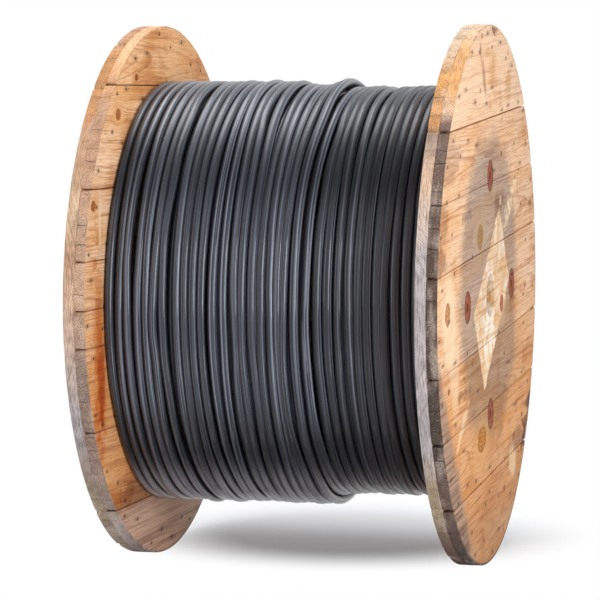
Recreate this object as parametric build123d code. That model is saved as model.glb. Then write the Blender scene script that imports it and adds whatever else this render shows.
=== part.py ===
from build123d import *
import math
import os

# A wooden cable drum, full, standing on its rims.
# Millimetres. +X runs along the drum's axis, +Z is up, and the origin is on the floor below the
# middle of the drum. Positions across a flange are taken from the drum's axis.

# Flanges: two layers of boards each, crossed and nailed
flange_diameter = 1000.0
clear_width = 586.0
outer_layer_thickness = 20.0
inner_layer_thickness = 20.0
board_gap = 1.6
arbor_hole_diameter = 80.0

# Lines between the boards of a layer, in three groups: those below and above as distances outwards
# from the circle of the tie rods, whose boards keep their holes, and those near the middle as
# distances from the axis
right_outer_seams = ((114.0, -18.0), (-85.0, 89.0), (-12.5, 107.0))
right_inner_seams = ((135.0, 4.0), (-92.0, 88.0), (-8.0, 150.0))
left_inner_seams = ((159.0, 4.0), (-74.0, -7.0, 79.0), (-17.0, 166.0))
left_outer_seams = ((100.0, -26.0), (-68.0, 61.0), (-35.0, 97.0))
# The flanges aren't turned quite alike on the barrel
right_flange_turn = 3.4
left_flange_turn = 0.0

# Barrel: flat staves on edge to edge, standing in a round groove of each inner layer
barrel_diameter = 500.0
stave_thickness = 18.0
stave_count = 22
stave_gap = 1.5
groove_depth = 6.0
groove_clearance = 1.0

# Tie rods just inside the staves, with a round plate nut let into the outer layer at each end
rod_count = 4
rod_circle_turn = 2.0
rod_stave_gap = 0.5
rod_diameter = 14.0
rod_hole_clearance = 1.0
rod_end_recess = 3.0
thread_clearance = 0.1
nut_diameter = 58.0
nut_thickness = 6.0
nut_pocket_clearance = 0.5

# Cable: full layers, and a last one that ends part of the way along and beds into the one below
cable_diameter = 17.2
wound_diameter = 794.0
last_layer_turns = 21
layer_step = 16.0
winding_end_clearance = 0.5
winding_bore_clearance = 0.3

# Derived places
flange_radius = flange_diameter / 2
axis_height = flange_radius
inner_face_x = clear_width / 2
layer_joint_x = inner_face_x + inner_layer_thickness
outer_face_x = layer_joint_x + outer_layer_thickness
barrel_radius = barrel_diameter / 2
stave_half_angle = math.pi / stave_count
stave_outer_flat = barrel_radius * math.cos(stave_half_angle)
stave_inner_flat = stave_outer_flat - stave_thickness
rod_circle_radius = stave_inner_flat - rod_stave_gap - rod_diameter / 2
rod_hole_radius = rod_diameter / 2 + rod_hole_clearance
nut_pocket_radius = nut_diameter / 2 + nut_pocket_clearance
winding_start = -inner_face_x + winding_end_clearance
turn_count = int(-2 * winding_start / cable_diameter)
turn_pitch = -2 * winding_start / turn_count
last_layer_radius = wound_diameter / 2
last_layer_bore = last_layer_radius - cable_diameter
last_layer_end = winding_start + last_layer_turns * turn_pitch
valley_depth = cable_diameter / 3


def across(x):
    """A sketch plane square to the axis at x: its own x runs along +Y and its own y along +Z."""
    return Plane(origin=(x, 0, axis_height), x_dir=(0, 1, 0), z_dir=(1, 0, 0))


def disc(x_low, x_high, radius, y=0.0, z=0.0):
    """A round solid along the axis from x_low to x_high, centred at y and z from the axis."""
    return extrude(across(x_low) * Pos(y, z) * Circle(radius), x_high - x_low)


def rod_places():
    """Where the tie rods cross a flange, as distances from the axis."""
    for i in range(rod_count):
        angle = math.radians(rod_circle_turn + 360.0 * i / rod_count)
        yield rod_circle_radius * math.cos(angle), rod_circle_radius * math.sin(angle)


def union(solids):
    """One cutter out of many."""
    first, *rest = solids
    return first.fuse(*rest) if rest else first


def seam_places(below, middle, above):
    """A layer's seams as distances from the axis, from the lowest to the highest."""
    low = [-rod_circle_radius - distance for distance in below]
    high = [rod_circle_radius + distance for distance in above]
    return [*low, *middle, *high]


def boards(x_low, x_high, seams, turn, cutter):
    """One layer of a flange, sawn round: the boards lie between the seams and run to the rim."""
    blank = disc(x_low, x_high, flange_radius) - cutter
    edges = (-flange_radius - board_gap, *seam_places(*seams), flange_radius + board_gap)
    for low, high in zip(edges, edges[1:]):
        strip = Pos(0, (low + high) / 2) * Rectangle(2 * flange_radius, high - low - board_gap)
        board = blank & extrude(across(x_low) * Rot(0, 0, turn) * strip, x_high - x_low)
        yield board.solids()[0]


def outer_cutter(side):
    """What is bored out of a flange's outer layer: arbor hole, rod holes and nut pockets."""
    x_low, x_high = sorted((side * layer_joint_x, side * outer_face_x))
    pocket_low, pocket_high = sorted((side * (outer_face_x - nut_thickness), side * outer_face_x))
    holes = [disc(x_low, x_high, arbor_hole_diameter / 2)]
    for y, z in rod_places():
        holes.append(disc(x_low, x_high, rod_hole_radius, y, z))
        holes.append(disc(pocket_low, pocket_high, nut_pocket_radius, y, z))
    return union(holes)


def inner_cutter(side):
    """What is cut out of a flange's inner layer: arbor hole, rod holes and the staves' groove."""
    x_low, x_high = sorted((side * inner_face_x, side * layer_joint_x))
    groove_low, groove_high = sorted((side * inner_face_x, side * (inner_face_x + groove_depth)))
    holes = [disc(x_low, x_high, arbor_hole_diameter / 2)]
    for y, z in rod_places():
        holes.append(disc(x_low, x_high, rod_hole_radius, y, z))
    groove = disc(groove_low, groove_high, barrel_radius + groove_clearance)
    groove -= disc(groove_low, groove_high, stave_inner_flat - groove_clearance)
    return union([*holes, groove])


def staves():
    """The barrel's staves, each a flat slat with its long edges bevelled to its neighbours'."""
    outer_half = stave_outer_flat * math.tan(stave_half_angle) - stave_gap / 2
    inner_half = stave_inner_flat * math.tan(stave_half_angle) - stave_gap / 2
    section = make_face(
        Polyline(
            (stave_inner_flat, -inner_half),
            (stave_outer_flat, -outer_half),
            (stave_outer_flat, outer_half),
            (stave_inner_flat, inner_half),
            close=True,
        )
    )
    start = -inner_face_x - groove_depth
    for i in range(stave_count):
        turned = across(start) * Rot(0, 0, 360.0 * i / stave_count) * section
        yield extrude(turned, clear_width + 2 * groove_depth)


def plate_nut(side, y, z):
    """A round plate nut, flush with the flange's outer face."""
    seat_x = side * (outer_face_x - nut_thickness)
    low, high = sorted((seat_x, side * outer_face_x))
    plate = disc(low, high, nut_diameter / 2, y, z)
    return plate - disc(low, high, rod_diameter / 2 + thread_clearance, y, z)


def turned(profile):
    """A solid turned about the drum's axis from points given as (x, distance from the axis)."""
    along_axis = Plane(origin=(0, 0, axis_height), x_dir=(1, 0, 0), z_dir=(0, -1, 0))
    section = make_face(Polyline(*profile, close=True))
    return revolve(along_axis * section, Axis((0, 0, axis_height), (1, 0, 0)))


def full_layers():
    """The cable's full layers as one turned solid, lower where the last layer leaves off."""
    bore = barrel_radius + winding_bore_clearance
    seat = last_layer_bore - winding_bore_clearance
    crown = last_layer_radius - layer_step
    profile = [
        (winding_start, bore),
        (winding_start, seat),
        (last_layer_end, seat),
        (last_layer_end, crown - valley_depth),
        (last_layer_end + turn_pitch / 2, crown),
        (-winding_start, crown),
        (-winding_start, bore),
    ]
    return turned(profile)


def last_layer():
    """The cable's last layer, a ring one cable thick that ends in a turn of its own."""
    valley = last_layer_radius - valley_depth
    last_turn_start = last_layer_end - turn_pitch
    profile = [
        (winding_start, last_layer_bore),
        (winding_start, last_layer_radius),
        (last_turn_start - turn_pitch / 2, last_layer_radius),
        (last_turn_start, valley),
        (last_layer_end - turn_pitch / 2, last_layer_radius),
        (last_layer_end, valley),
        (last_layer_end, last_layer_bore),
    ]
    return turned(profile)


def save(name, *solids):
    """One sub-part, written under its own name."""
    export_step(Compound(children=list(solids)) if len(solids) > 1 else solids[0], f"parts/{name}.step")


os.makedirs("parts", exist_ok=True)

layers = (
    ("right_outer", 1, layer_joint_x, right_outer_seams, right_flange_turn, outer_cutter),
    ("right_inner", 1, inner_face_x, right_inner_seams, right_flange_turn + 90.0, inner_cutter),
    ("left_inner", -1, inner_face_x, left_inner_seams, left_flange_turn, inner_cutter),
    ("left_outer", -1, layer_joint_x, left_outer_seams, left_flange_turn + 90.0, outer_cutter),
)
thicknesses = {outer_cutter: outer_layer_thickness, inner_cutter: inner_layer_thickness}
for layer, side, near_x, seams, turn, cutter in layers:
    x_low, x_high = sorted((side * near_x, side * (near_x + thicknesses[cutter])))
    for number, board in enumerate(boards(x_low, x_high, seams, turn, cutter(side)), 1):
        save(f"{layer}_board_{number}", board)

save("barrel_staves", *staves())

rod_reach = outer_face_x - rod_end_recess
save("tie_rods", *(disc(-rod_reach, rod_reach, rod_diameter / 2, y, z) for y, z in rod_places()))
save("right_plate_nuts", *(plate_nut(1, y, z) for y, z in rod_places()))
save("left_plate_nuts", *(plate_nut(-1, y, z) for y, z in rod_places()))

save("cable_full_layers", full_layers())
save("cable_last_layer", last_layer())
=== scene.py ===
import math
import random
import bmesh
import bpy
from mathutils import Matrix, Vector


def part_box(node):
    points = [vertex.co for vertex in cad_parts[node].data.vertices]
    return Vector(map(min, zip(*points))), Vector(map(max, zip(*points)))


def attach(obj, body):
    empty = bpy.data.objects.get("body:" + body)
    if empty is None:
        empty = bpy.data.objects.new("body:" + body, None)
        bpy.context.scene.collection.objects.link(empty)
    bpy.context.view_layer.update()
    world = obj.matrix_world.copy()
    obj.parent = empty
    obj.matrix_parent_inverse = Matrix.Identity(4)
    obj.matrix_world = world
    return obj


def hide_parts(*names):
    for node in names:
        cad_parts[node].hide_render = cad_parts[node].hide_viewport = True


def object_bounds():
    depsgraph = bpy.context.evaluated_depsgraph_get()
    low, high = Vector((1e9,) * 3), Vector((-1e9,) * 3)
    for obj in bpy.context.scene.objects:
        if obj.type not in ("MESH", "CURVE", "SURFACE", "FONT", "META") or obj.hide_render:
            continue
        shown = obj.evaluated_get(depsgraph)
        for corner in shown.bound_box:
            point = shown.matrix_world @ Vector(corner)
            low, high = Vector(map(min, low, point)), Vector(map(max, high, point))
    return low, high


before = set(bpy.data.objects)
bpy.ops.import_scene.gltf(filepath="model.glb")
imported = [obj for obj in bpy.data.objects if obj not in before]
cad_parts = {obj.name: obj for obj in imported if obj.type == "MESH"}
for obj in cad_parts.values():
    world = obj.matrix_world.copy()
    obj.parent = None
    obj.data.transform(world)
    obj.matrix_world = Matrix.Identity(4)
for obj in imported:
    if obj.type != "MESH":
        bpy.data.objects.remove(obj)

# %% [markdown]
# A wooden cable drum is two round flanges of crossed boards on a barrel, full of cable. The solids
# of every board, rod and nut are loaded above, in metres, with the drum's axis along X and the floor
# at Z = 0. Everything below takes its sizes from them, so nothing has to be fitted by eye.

cad_low, cad_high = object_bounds()
AXIS_Z = (cad_low.z + cad_high.z) / 2
FLANGE_RADIUS = (cad_high.z - cad_low.z) / 2
OUTER_FACE = cad_high.x
INNER_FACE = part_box("right_inner_board_1")[0].x
HIGH_RADIUS = (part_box("cable_last_layer")[1].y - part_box("cable_last_layer")[0].y) / 2
LOW_RADIUS = (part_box("cable_full_layers")[1].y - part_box("cable_full_layers")[0].y) / 2
LAST_LAYER_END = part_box("cable_last_layer")[1].x
print(f"flange {2 * FLANGE_RADIUS:.3f} m across, {2 * INNER_FACE:.3f} m between the flanges")

# %% [markdown]
# The camera comes first, because it decides how fine every grain line and nail has to be. It was
# solved from the four rims of the flanges: a long lens, 5.5 m off, 14 degrees round to the right of
# the drum's front and 4 degrees above level. It is aimed by a direction and a target, because those
# are the numbers that a photographer would change.

# %% Camera
SENSOR = 36.0
PICTURE_WIDTH = 600
FOCAL_PIXELS = 2900.97
AZIMUTH = math.radians(14.196)
ELEVATION = math.radians(4.057)
DISTANCE = 5.4702
TARGET = Vector((-0.0319, 0.0, AXIS_Z - 0.0155))


def in_scene(name, data):
    """A new object with this mesh, lamp or camera, linked into the scene."""
    made = bpy.data.objects.new(name, data)
    bpy.context.scene.collection.objects.link(made)
    return made


look = Vector((-math.sin(AZIMUTH) * math.cos(ELEVATION),
               math.cos(AZIMUTH) * math.cos(ELEVATION), -math.sin(ELEVATION)))
camera = in_scene("camera", bpy.data.cameras.new("camera"))
camera.data.sensor_width = SENSOR
camera.data.lens = FOCAL_PIXELS / PICTURE_WIDTH * SENSOR
camera.location = TARGET - look * DISTANCE
camera.rotation_euler = look.to_track_quat("-Z", "Y").to_euler()
bpy.context.scene.camera = camera
print(f"lens {camera.data.lens:.1f} mm at {tuple(round(c, 3) for c in camera.location)}")

# %% [markdown]
# Materials and Geometry Nodes are both trees of nodes. Building them by hand in code gets long, so
# these few helpers add a node, set it, and plug a value or another node's output into its inputs.

# %% Helpers for node trees
def plug(tree, socket, value):
    """Sets an input, or links it if the value is another node's output."""
    if isinstance(value, bpy.types.NodeSocket):
        tree.links.new(value, socket)
    else:
        socket.default_value = value


def add(tree, kind, inputs=(), **settings):
    """Adds a node with its settings and inputs."""
    made = tree.nodes.new(kind)
    for name, value in settings.items():
        setattr(made, name, value)
    for key, value in dict(inputs).items():
        plug(tree, made.inputs[key], value)
    return made


def sockets(tree, side, wanted):
    """Names the inputs or the outputs of a node group, each with its kind."""
    for name, kind in wanted:
        tree.interface.new_socket(name, in_out=side, socket_type=f"NodeSocket{kind}")


def new_material(name):
    """An empty material: its tree and its Principled shader."""
    made = bpy.data.materials.new(name)
    made.use_nodes = True
    return made, made.node_tree, made.node_tree.nodes["Principled BSDF"]


def roughen(tree, shader, height, strength, distance):
    """Lets a height roughen a surface, as the light sees it."""
    bump = add(tree, "ShaderNodeBump", {"Strength": strength, "Distance": distance, "Height": height})
    plug(tree, shader.inputs["Normal"], bump.outputs[0])


print("helpers for trees: plug, add, sockets, new_material, roughen")

# %% [markdown]
# Most of a material is arithmetic on places and numbers. Blender has a node for each step, so each
# helper here adds one such node and returns its output. Steps can then be written one inside the
# other, like a formula, and read like one.

# %% Helpers for arithmetic
def calc(tree, operation, *values, clamp=False):
    """One step of arithmetic on single values."""
    made = add(tree, "ShaderNodeMath", operation=operation, use_clamp=clamp)
    for socket, value in zip(made.inputs, values):
        plug(tree, socket, value)
    return made.outputs[0]


def times(tree, first, second):
    """One value times another."""
    return calc(tree, "MULTIPLY", first, second)


def plus(tree, first, second):
    """Two values added."""
    return calc(tree, "ADD", first, second)


def minus(tree, first, second):
    """One value less another."""
    return calc(tree, "SUBTRACT", first, second)


def times_plus(tree, value, factor, start):
    """A value times a factor, added to a start."""
    return calc(tree, "MULTIPLY_ADD", value, factor, start)


def vec(tree, operation, *values):
    """One step of arithmetic on vectors."""
    made = add(tree, "ShaderNodeVectorMath", operation=operation)
    for socket, value in zip(made.inputs, values):
        plug(tree, socket, value)
    single = operation in ("LENGTH", "DOT_PRODUCT", "DISTANCE")
    return made.outputs["Value" if single else "Vector"]


def scaled(tree, vector, factor):
    """A vector or colour made longer or shorter."""
    made = add(tree, "ShaderNodeVectorMath", {"Vector": vector, "Scale": factor}, operation="SCALE")
    return made.outputs[0]


def parts_of(tree, vector):
    """The three parts of a vector."""
    return add(tree, "ShaderNodeSeparateXYZ", {"Vector": vector}).outputs


def joined(tree, x, y, z):
    """A vector out of three values."""
    return add(tree, "ShaderNodeCombineXYZ", {"X": x, "Y": y, "Z": z}).outputs[0]


def smooth(tree, value, low, high, start=0.0, end=1.0):
    """Goes softly from start to end as value goes from low to high."""
    made = add(tree, "ShaderNodeMapRange", {"Value": value, "From Min": low, "From Max": high,
               "To Min": start, "To Max": end}, interpolation_type="SMOOTHSTEP")
    return made.outputs["Result"]


print("helpers for arithmetic: calc, times, plus, minus, times_plus, vec, scaled, smooth")

# %% [markdown]
# Nothing old has one even colour. Noise gives a material its unevenness, drawn out along the grain
# where wood is meant, and colours are mixed by it. Colours are written as a picture editor shows
# them, because that is how they were matched, and changed into light before Blender mixes them.

# %% Helpers for noise and colour
def noise(tree, vector, scale, detail=2.0, rough=0.5):
    """Smooth noise from 0 to 1."""
    made = add(tree, "ShaderNodeTexNoise", {"Vector": vector, "Scale": scale, "Detail": detail,
               "Roughness": rough})
    return made.outputs[0]


def stretched(tree, vector, slow, fast, detail=2.0, rough=0.5):
    """Noise that changes slowly along the first direction and fast across it, or the other way."""
    return noise(tree, vec(tree, "MULTIPLY", vector, (slow, fast, fast)), 1.0, detail, rough)


def uneven(tree, mask, amount):
    """Noise round zero, as large as amount, to make an edge ragged."""
    return times(tree, minus(tree, mask, 0.5), amount)


def tint(tree, factor, first, second, mode="MIX"):
    """Mixes two colours."""
    made = add(tree, "ShaderNodeMix", data_type="RGBA", blend_type=mode, clamp_factor=True)
    plug(tree, made.inputs[0], factor)
    for socket, value in ((made.inputs[6], first), (made.inputs[7], second)):
        if isinstance(value, tuple) and len(value) == 3:
            value = (*value, 1.0)
        plug(tree, socket, value)
    return made.outputs[2]


def linear(red, green, blue):
    """A colour as a picture editor shows it, from 0 to 255, as the light value that Blender mixes."""
    return tuple((c / 255 / 12.92) if c < 11 else ((c / 255 + 0.055) / 1.055) ** 2.4
                 for c in (red, green, blue))


print("helpers for noise and colour: noise, stretched, uneven, tint, linear")

# %% [markdown]
# The set is a pale floor, a white surround and soft lamps. Far from the drum the floor fades to the
# same white as the surround, so no horizon shows. The surround is white to the camera and in gloss,
# but lights the drum at a lower level, so that the lamps can still shape it.

# %% Floor
FLOOR_HALF = 9.0
FLOOR_PALE = (0.86, 0.875, 0.92)
FLOOR_POLISH = 0.55
POLISH_ROUGHNESS = 0.12
SHADOW_MIDDLE = 0.30
SHADOW_REACH = (0.50, 0.50)
SHADOW_CORE = 0.45
SHADOW_LIFT = 0.16
HORIZON_FADE = (1.6, 4.0)

corners = [(x * FLOOR_HALF, y * FLOOR_HALF, 0) for x, y in ((-1, -1), (1, -1), (1, 1), (-1, 1))]
floor_mesh = bpy.data.meshes.new("floor")
floor_mesh.from_pydata(corners, [], [(0, 1, 2, 3)])
floor = in_scene("floor", floor_mesh)


def shown_directly(tree):
    """1 for what the camera sees straight, and 1 for what it sees in gloss or through glass."""
    paths = add(tree, "ShaderNodeLightPath").outputs
    mirrored = calc(tree, "MAXIMUM", paths["Is Glossy Ray"], paths["Is Transmission Ray"])
    return paths["Is Camera Ray"], mirrored


floor_finish, tree, shader = new_material("pale_floor")
shader.inputs["Base Color"].default_value = (*FLOOR_PALE, 1.0)
shader.inputs["Roughness"].default_value = 0.9
shader.inputs["Specular IOR Level"].default_value = 0.0
white = add(tree, "ShaderNodeEmission", {"Color": (1, 1, 1, 1), "Strength": 1.0})
x, y, z = parts_of(tree, add(tree, "ShaderNodeTexCoord").outputs["Object"])
behind = calc(tree, "DIVIDE", minus(tree, y, SHADOW_MIDDLE), SHADOW_REACH[1])
reach = vec(tree, "LENGTH", joined(tree, calc(tree, "DIVIDE", x, SHADOW_REACH[0]), behind, 0.0))
straight, mirrored = shown_directly(tree)
fade = times(tree, smooth(tree, reach, SHADOW_CORE, 1.0, SHADOW_LIFT, 1.0), straight)
fade = times_plus(tree, smooth(tree, reach, *HORIZON_FADE), mirrored, fade)
polish = add(tree, "ShaderNodeBsdfGlossy", {"Color": (1, 1, 1, 1), "Roughness": POLISH_ROUGHNESS})
polished = add(tree, "ShaderNodeMixShader", {0: times(tree, mirrored, FLOOR_POLISH),
               1: shader.outputs[0], 2: polish.outputs[0]})
mixed = add(tree, "ShaderNodeMixShader", {0: fade, 1: polished.outputs[0], 2: white.outputs[0]})
tree.links.new(mixed.outputs[0], tree.nodes["Material Output"].inputs["Surface"])
floor_mesh.materials.append(floor_finish)
print("the floor keeps its shadow within", SHADOW_REACH, "m")

# %% [markdown]
# The surround needs no mesh: it is the world's background. It is white where the camera sees it
# straight or in gloss, and dimmer as a light, so that it fills the shadows without flattening them.

# %% Surround
SURROUND_LIGHT = 0.58

world = bpy.data.worlds.new("surround")
bpy.context.scene.world = world
world.use_nodes = True
tree = world.node_tree
shown = calc(tree, "MAXIMUM", *shown_directly(tree))
level = times_plus(tree, shown, 1.0 - SURROUND_LIGHT, SURROUND_LIGHT)
backdrop = tree.nodes["Background"]
backdrop.inputs["Color"].default_value = (1, 1, 1, 1)
tree.links.new(level, backdrop.inputs["Strength"])
print("the surround lights the drum at", SURROUND_LIGHT)

# %% [markdown]
# Black cable shows its shape only by what it mirrors, so the lamps are large soft rectangles: one
# above, a wide one to the left and a narrow, bright one to the right, whose long image runs down the
# turns. A lamp is given by its place, its aim, its two sides in metres and its power in watts.

# %% Lamps
LAMPS = (
    ("top_light", (-0.5, 0.35, 3.1), (0, 0.1, 0.6), 2.4, 2.0, 58),
    ("left_light", (-3.2, -2.0, 1.15), (0, 0, 0.5), 1.7, 1.9, 24),
    ("right_light", (2.65, -2.45, 1.05), (0.1, 0, 0.5), 0.7, 2.0, 61),
)


def softbox(name, place, aim, width, height, power):
    """A large soft lamp that points from its place to its aim."""
    lamp = bpy.data.lights.new(name, "AREA")
    lamp.shape, lamp.size, lamp.size_y, lamp.energy = "RECTANGLE", width, height, power
    held = in_scene(name, lamp)
    held.location = place
    held.rotation_euler = (Vector(aim) - Vector(place)).to_track_quat("-Z", "Y").to_euler()


for lamp in LAMPS:
    softbox(*lamp)
view = bpy.context.scene.view_settings
view.view_transform = "Standard"
print(len(LAMPS), "soft lamps,", sum(lamp[-1] for lamp in LAMPS), "W in all")

# %% [markdown]
# A mesh can carry values of its own, called attributes, and a material can read them. The stains
# below are all made from masks, numbers from 0 to 1 that say where a thing shows. Two masks
# multiplied show where both hold. A stain multiplies the colour under it, so the grain shows through.

# %% Attributes and masks
def attribute(tree, name, kind="Vector"):
    """An attribute of the mesh."""
    return add(tree, "ShaderNodeAttribute", attribute_name=name).outputs[kind]


def both(tree, first, second):
    """Where both masks hold."""
    return times(tree, first, second)


def wash(tree, mask, color, stain):
    """Stains a colour: multiplies it by the stain where the mask holds."""
    return tint(tree, mask, color, stain, "MULTIPLY")


def between(tree, value, low, high, soft):
    """1 where a value lies between low and high, with soft ends."""
    return both(tree, smooth(tree, value, low - soft, low + soft),
                smooth(tree, value, high - soft, high + soft, 1.0, 0.0))


print("helpers for masks: attribute, both, wash, between")

# %% [markdown]
# A knot is where a branch left the trunk: rings of its own, darker and more orange than the board,
# with the board's grain bending round it. So a knot does two things here. It pushes the grain
# coordinates away from its middle before the rings are drawn, and it hands on its own round pattern
# to be laid over them.

# %% Knots, as a node group
SMALLEST_KNOT = 0.0005
GRAIN_PUSH = 1.25
RINGS_IN_KNOT = 3.6


def knot_group():
    """Pushes grain aside round one knot; Mask is the knot itself and Halo the grain round it."""
    group = bpy.data.node_groups.new("knot", "ShaderNodeTree")
    sockets(group, "INPUT", (("Grain", "Vector"), ("Offset", "Vector"),
                             ("Long", "Float"), ("Wide", "Float")))
    sockets(group, "OUTPUT", (("Grain", "Vector"), ("Mask", "Float"),
                              ("Halo", "Float"), ("Rings", "Float")))
    given = add(group, "NodeGroupInput").outputs
    along, across, _ = parts_of(group, given["Offset"])
    long = calc(group, "MAXIMUM", given["Long"], SMALLEST_KNOT)
    wide = calc(group, "MAXIMUM", given["Wide"], SMALLEST_KNOT)
    wave = noise(group, given["Offset"], 60.0)
    far = joined(group, calc(group, "DIVIDE", along, long), calc(group, "DIVIDE", across, wide), 0.0)
    far = times_plus(group, wave, 0.5, minus(group, vec(group, "LENGTH", far), 0.25))
    halo = calc(group, "EXPONENT", times(group, times(group, far, far), -0.30))
    soft = plus(group, calc(group, "ABSOLUTE", across), times(group, wide, 0.25))
    side = calc(group, "DIVIDE", across, soft)
    push = times(group, times(group, side, halo), times(group, wide, -GRAIN_PUSH))
    made = add(group, "NodeGroupOutput")
    plug(group, made.inputs["Grain"], vec(group, "ADD", given["Grain"], joined(group, 0.0, push, 0.0)))
    plug(group, made.inputs["Mask"], smooth(group, far, 0.86, 1.0, 1.0, 0.0))
    plug(group, made.inputs["Halo"], halo)
    plug(group, made.inputs["Rings"], calc(group, "FRACT", times(group, far, RINGS_IN_KNOT)))
    return group


KNOT = knot_group()
print("knot group has", len(KNOT.nodes), "nodes")

# %% [markdown]
# Sawn softwood is a stack of growth rings cut by a flat face, so the material is solid: it works out
# how far each point lies from the tree's middle and draws a ring every few millimetres. A flat face
# then shows long pointed loops and a cut end shows arcs, with no seam at the edge between them. Each
# board carries its own grain coordinates, in metres, as an attribute: along, across, and depth from
# the tree's middle. Small knots are scattered by cells, with one knot or none in each.

# %% Growth rings and random knots
RING_SPACING = 0.0046
SLOW_BEND = 0.034
QUICK_BEND = 0.0034
TAPER = 0.020
KNOT_CELLS = (3.4, 10.0, 1.0)
LARGEST_RANDOM_KNOT = 0.015
KNOT_STRETCH = 1.35


def random_knots(group, grain, amount):
    """Small knots scattered along a board, and the size of the nearest one."""
    along, across, _ = parts_of(group, grain)
    cells = joined(group, times(group, along, KNOT_CELLS[0]), times(group, across, KNOT_CELLS[1]), 0.0)
    cell = add(group, "ShaderNodeTexVoronoi", {"Vector": cells, "Scale": 1.0},
               voronoi_dimensions="2D").outputs
    away = vec(group, "DIVIDE", vec(group, "SUBTRACT", cells, cell["Position"]), KNOT_CELLS)
    chance = add(group, "ShaderNodeSeparateColor", {0: cell["Color"]}).outputs[0]
    size = times(group, amount, smooth(group, chance, 0.45, 1.0, 0.0, LARGEST_RANDOM_KNOT))
    knot = add(group, "ShaderNodeGroup", {"Grain": grain, "Offset": away, "Wide": size,
               "Long": times(group, size, KNOT_STRETCH)}, node_tree=KNOT)
    return knot.outputs, size


def late_wood(group, grain):
    """The dark end of each year's ring, fainter in some years than in others."""
    along, across, depth = parts_of(group, grain)
    far = vec(group, "LENGTH", joined(group, 0.0, across, depth))
    far = times_plus(group, stretched(group, grain, 1.8, 8.0), SLOW_BEND, far)
    far = times_plus(group, stretched(group, grain, 9.0, 60.0), QUICK_BEND, far)
    rings = calc(group, "DIVIDE", times_plus(group, along, TAPER, far), RING_SPACING)
    phase = calc(group, "FRACT", rings)
    late = both(group, smooth(group, phase, 0.45, 0.90), smooth(group, phase, 0.92, 1.0, 1.0, 0.0))
    year = add(group, "ShaderNodeTexWhiteNoise", {"W": calc(group, "FLOOR", rings)}, noise_dimensions="1D")
    return both(group, late, times_plus(group, year.outputs["Value"], 0.9, 0.1))


print(f"a growth ring every {RING_SPACING * 1000:.1f} mm")

# %% [markdown]
# The group that puts the wood together lays its coats one over the other, as they lie in real wood:
# pale early wood, dark late wood, fibres, streaks and ticks, and then the knots. A cut end gets
# colours of its own, since it drinks in more dirt. The group also hands on its fibres, streaks and
# height, so that stains, gloss and relief can follow the same grain.

# %% Sawn softwood, as a node group
EARLY_WOOD = linear(248, 212, 176)
LATE_WOOD = linear(178, 108, 66)
WARM_WOOD = linear(234, 176, 114)
TICK_WOOD = linear(150, 92, 60)
END_WOOD = linear(188, 128, 84)
END_LATE = linear(124, 76, 48)
END_SPECK = linear(96, 64, 44)
KNOT_WOOD = linear(176, 106, 56)
KNOT_DARK = linear(96, 54, 32)


def softwood_group():
    """Colour and relief of sawn softwood at its grain coordinates; End is 1 on a cut end."""
    group = bpy.data.node_groups.new("sawn_softwood", "ShaderNodeTree")
    sockets(group, "INPUT", (("Grain", "Vector"), ("Along", "Vector"),
                             ("Warmth", "Float"), ("Knots", "Float")))
    sockets(group, "OUTPUT", (("Color", "Color"), ("Height", "Float"), ("End", "Float"),
                              ("Fibre", "Float"), ("Late", "Float"), ("Streak", "Float")))
    given = add(group, "NodeGroupInput").outputs
    knot, size = random_knots(group, given["Grain"], given["Knots"])
    grain = knot["Grain"]
    late = late_wood(group, grain)
    fibre = stretched(group, grain, 16.0, 800.0, 3.0, 0.6)
    streak = stretched(group, grain, 3.0, 110.0, 4.0, 0.6)
    patch = stretched(group, grain, 3.5, 12.0, 3.0, 0.55)
    ticks = stretched(group, grain, 45.0, 380.0, 2.0, 0.6)
    warm = calc(group, "ADD", given["Warmth"], smooth(group, patch, 0.3, 0.7, -0.3, 0.5), clamp=True)
    face = tint(group, warm, EARLY_WOOD, WARM_WOOD)
    face = tint(group, times(group, late, 0.58), face, LATE_WOOD)
    face = tint(group, smooth(group, fibre, 0.40, 0.72, 0.0, 0.55), face, LATE_WOOD)
    face = tint(group, smooth(group, streak, 0.50, 0.72, 0.0, 0.55), face, LATE_WOOD)
    face = tint(group, smooth(group, ticks, 0.60, 0.72, 0.0, 0.55), face, TICK_WOOD)
    knotty = tint(group, smooth(group, knot["Rings"], 0.4, 0.9), KNOT_WOOD, KNOT_DARK)
    ringed = both(group, knot["Halo"], smooth(group, size, 0.001, 0.004, 0.0, 0.35))
    face = tint(group, ringed, face, WARM_WOOD)
    face = tint(group, both(group, knot["Mask"], smooth(group, size, 0.001, 0.004)), face, knotty)
    cut = tint(group, times(group, late, 0.8), END_WOOD, END_LATE)
    speck = noise(group, vec(group, "MULTIPLY", grain, (300.0, 500.0, 500.0)), 1.0, 2.0)
    cut = tint(group, smooth(group, speck, 0.4, 0.7, 0.0, 0.45), cut, END_SPECK)
    facing = vec(group, "DOT_PRODUCT", add(group, "ShaderNodeTexCoord").outputs["Normal"], given["Along"])
    end = smooth(group, calc(group, "ABSOLUTE", facing), 0.45, 0.85)
    add(group, "NodeGroupOutput", {
        "Color": tint(group, end, face, cut), "End": end, "Fibre": fibre, "Late": late, "Streak": streak,
        "Height": times_plus(group, late, 0.5, times(group, fibre, 0.8))})
    return group


SOFTWOOD = softwood_group()
print("softwood group has", len(SOFTWOOD.nodes), "nodes")

# %% [markdown]
# The two layers of a flange are nailed through each other in zigzag rings. Where a nail sits, wet
# weather has drawn a dark stain along the grain. Both the nail heads, made by Geometry Nodes, and the
# stains, painted by the wood material, come from one small rule: the number of a nail gives its place.
# The rule is plain arithmetic and white noise, and those nodes are the same in both kinds of tree.

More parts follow.
